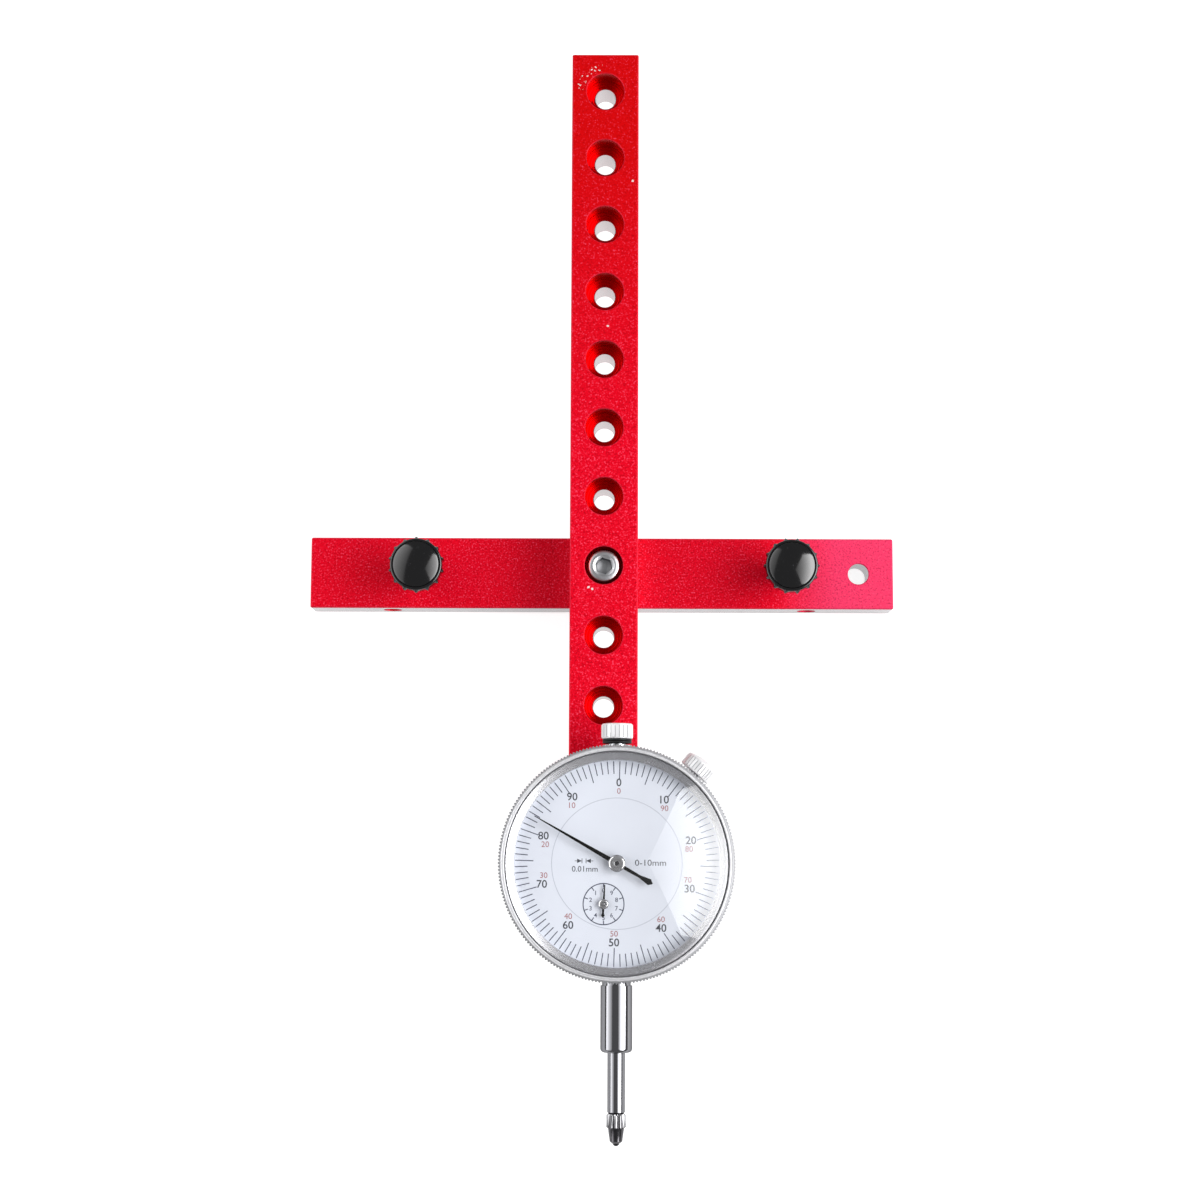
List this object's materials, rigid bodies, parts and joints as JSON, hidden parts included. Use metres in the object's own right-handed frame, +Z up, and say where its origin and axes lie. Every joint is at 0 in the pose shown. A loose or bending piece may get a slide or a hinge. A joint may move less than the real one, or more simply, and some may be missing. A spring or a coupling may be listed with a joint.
{
  "type": "mitre-slot alignment gauge with dial indicator",
  "caption": "Cross of two red anodised bars that rides in a saw's mitre slot and carries a lug-mounted dial indicator, for aligning blades and fences.",
  "frame": {"origin": "on the mitre bar's underside, on the axis of the screw where the two bars cross", "axes": "+X along the mitre bar, +Y along the long bar away from the dial, +Z up towards the dial's face"},
  "size_m": [0.156, 0.2853, 0.054],
  "materials": {
    "red_anodised": "satin",
    "zinc_steel": "bright",
    "knob_plastic": "glossy",
    "case_metal": "satin",
    "polished_steel": "polished",
    "chrome_trim": "polished",
    "bezel_metal": "satin",
    "brass": "satin",
    "spring_steel": "bright",
    "dial_enamel": "satin",
    "liner_grey": "satin",
    "crystal_clear": "clear",
    "black_rubber": "matte",
    "pointer_black": "black anodised",
    "tool_steel": "dark"
  },
  "bodies": {
    "base": {"mitre_bar": "red_anodised", "arm_screw": "zinc_steel"},
    "arm": {"long_bar": "red_anodised", "lug_screw": "zinc_steel"},
    "left_thread": {"left_stud": "zinc_steel"},
    "left_grip": {"left_knob": "knob_plastic"},
    "right_thread": {"right_stud": "zinc_steel"},
    "right_grip": {"right_knob": "knob_plastic"},
    "indicator": {"case_body": "case_metal", "stem": "polished_steel", "lower_bush": "brass", "upper_bush": "chrome_trim", "back_cover": "case_metal", "back_screws": "zinc_steel", "lower_plate": "brass", "plate_screws": "zinc_steel", "plate_pillars": "brass", "upper_plate": "brass", "bridge_screws": "zinc_steel", "pinion_bridge": "brass", "guide_plate": "brass", "spring_post": "polished_steel", "return_spring": "spring_steel", "hairspring": "spring_steel", "hairspring_stud": "brass", "dial_centre": "dial_enamel", "dial_feet": "brass", "bezel_spring": "spring_steel"},
    "bezel": {"bezel_ring": "bezel_metal", "dial_ring": "dial_enamel", "liner_ring": "liner_grey", "crystal": "crystal_clear", "crystal_gasket": "black_rubber"},
    "spindle": {"spindle_rod": "polished_steel", "contact_point": "tool_steel", "lifting_cap": "chrome_trim", "cap_cushion": "black_rubber", "guide_pin": "polished_steel"},
    "rack_pinion": {"pinion_arbor": "polished_steel", "drive_wheel": "brass", "counter_pointer": "pointer_black"},
    "centre": {"centre_arbor": "polished_steel", "main_pointer": "pointer_black", "pointer_boss": "chrome_trim"},
    "takeup": {"takeup_arbor": "polished_steel", "takeup_wheel": "brass", "hairspring_collet": "brass"},
    "clamp_thread": {"clamp_stud": "zinc_steel"},
    "clamp_grip": {"clamp_knob": "chrome_trim"}
  },
  "joints": [
    {"name": "arm_swivel", "type": "hinge", "parent": "base", "child": "arm", "pos_m": [0, 0, 0.0095], "axis": [0, 0, 1], "range_deg": [-65, 65]},
    {"name": "indicator_tilt", "type": "hinge", "parent": "arm", "child": "indicator", "pos_m": [0.00356, -0.0773, 0.0175], "axis": [1, 0, 0], "range_deg": [0, 90]},
    {"name": "bezel_turn", "type": "hinge", "parent": "indicator", "child": "bezel", "pos_m": [0.00356, -0.0773, 0.042], "axis": [0, 0, 1], "continuous": true},
    {"name": "spindle_slide", "type": "slide", "parent": "indicator", "child": "spindle", "axis": [0, 1, 0], "range_m": [0, 0.01], "stiffness_N_per_m": 50, "springref_m": -0.015, "deforming": ["return_spring"]},
    {"name": "pinion_spin", "type": "hinge", "parent": "indicator", "child": "rack_pinion", "pos_m": [0.00031, -0.08723, 0.036], "axis": [0, 0, 1], "range_deg": [-1, 361]},
    {"name": "pointer_spin", "type": "hinge", "parent": "indicator", "child": "centre", "pos_m": [0.00356, -0.0773, 0.0415], "axis": [0, 0, 1], "range_deg": [-3610, 10]},
    {"name": "takeup_spin", "type": "hinge", "parent": "indicator", "child": "takeup", "pos_m": [0.00681, -0.06737, 0.0415], "axis": [0, 0, 1], "range_deg": [-1, 361], "deforming": ["hairspring"]},
    {"name": "left_screw", "type": "slide", "parent": "base", "child": "left_thread", "axis": [0, 0, 1], "range_m": [-0.006, 0.004]},
    {"name": "left_turn", "type": "hinge", "parent": "left_thread", "child": "left_grip", "pos_m": [-0.049, 0, 0.02], "axis": [0, 0, 1], "range_deg": [-2164, 1444]},
    {"name": "right_screw", "type": "slide", "parent": "base", "child": "right_thread", "axis": [0, 0, 1], "range_m": [-0.006, 0.004]},
    {"name": "right_turn", "type": "hinge", "parent": "right_thread", "child": "right_grip", "pos_m": [0.049, 0, 0.02], "axis": [0, 0, 1], "range_deg": [-2164, 1444]},
    {"name": "clamp_screw", "type": "slide", "parent": "indicator", "child": "clamp_thread", "axis": [0.6494, 0.7604, 0], "range_m": [-0.0003, 0.003]},
    {"name": "clamp_turn", "type": "hinge", "parent": "clamp_thread", "child": "clamp_grip", "pos_m": [0.02369, -0.05373, 0.0372], "axis": [0.6494, 0.7604, 0], "range_deg": [-223, 2167]}
  ],
  "couplings": [
    {"joint": "pinion_spin", "follows": "spindle_slide", "rad_per_m": 628.32},
    {"joint": "pointer_spin", "follows": "spindle_slide", "rad_per_m": -6283.2},
    {"joint": "takeup_spin", "follows": "spindle_slide", "rad_per_m": 628.32},
    {"joint": "left_turn", "follows": "left_screw", "rad_per_m": 6283.2},
    {"joint": "right_turn", "follows": "right_screw", "rad_per_m": 6283.2},
    {"joint": "clamp_turn", "follows": "clamp_screw", "rad_per_m": 12566}
  ]
}
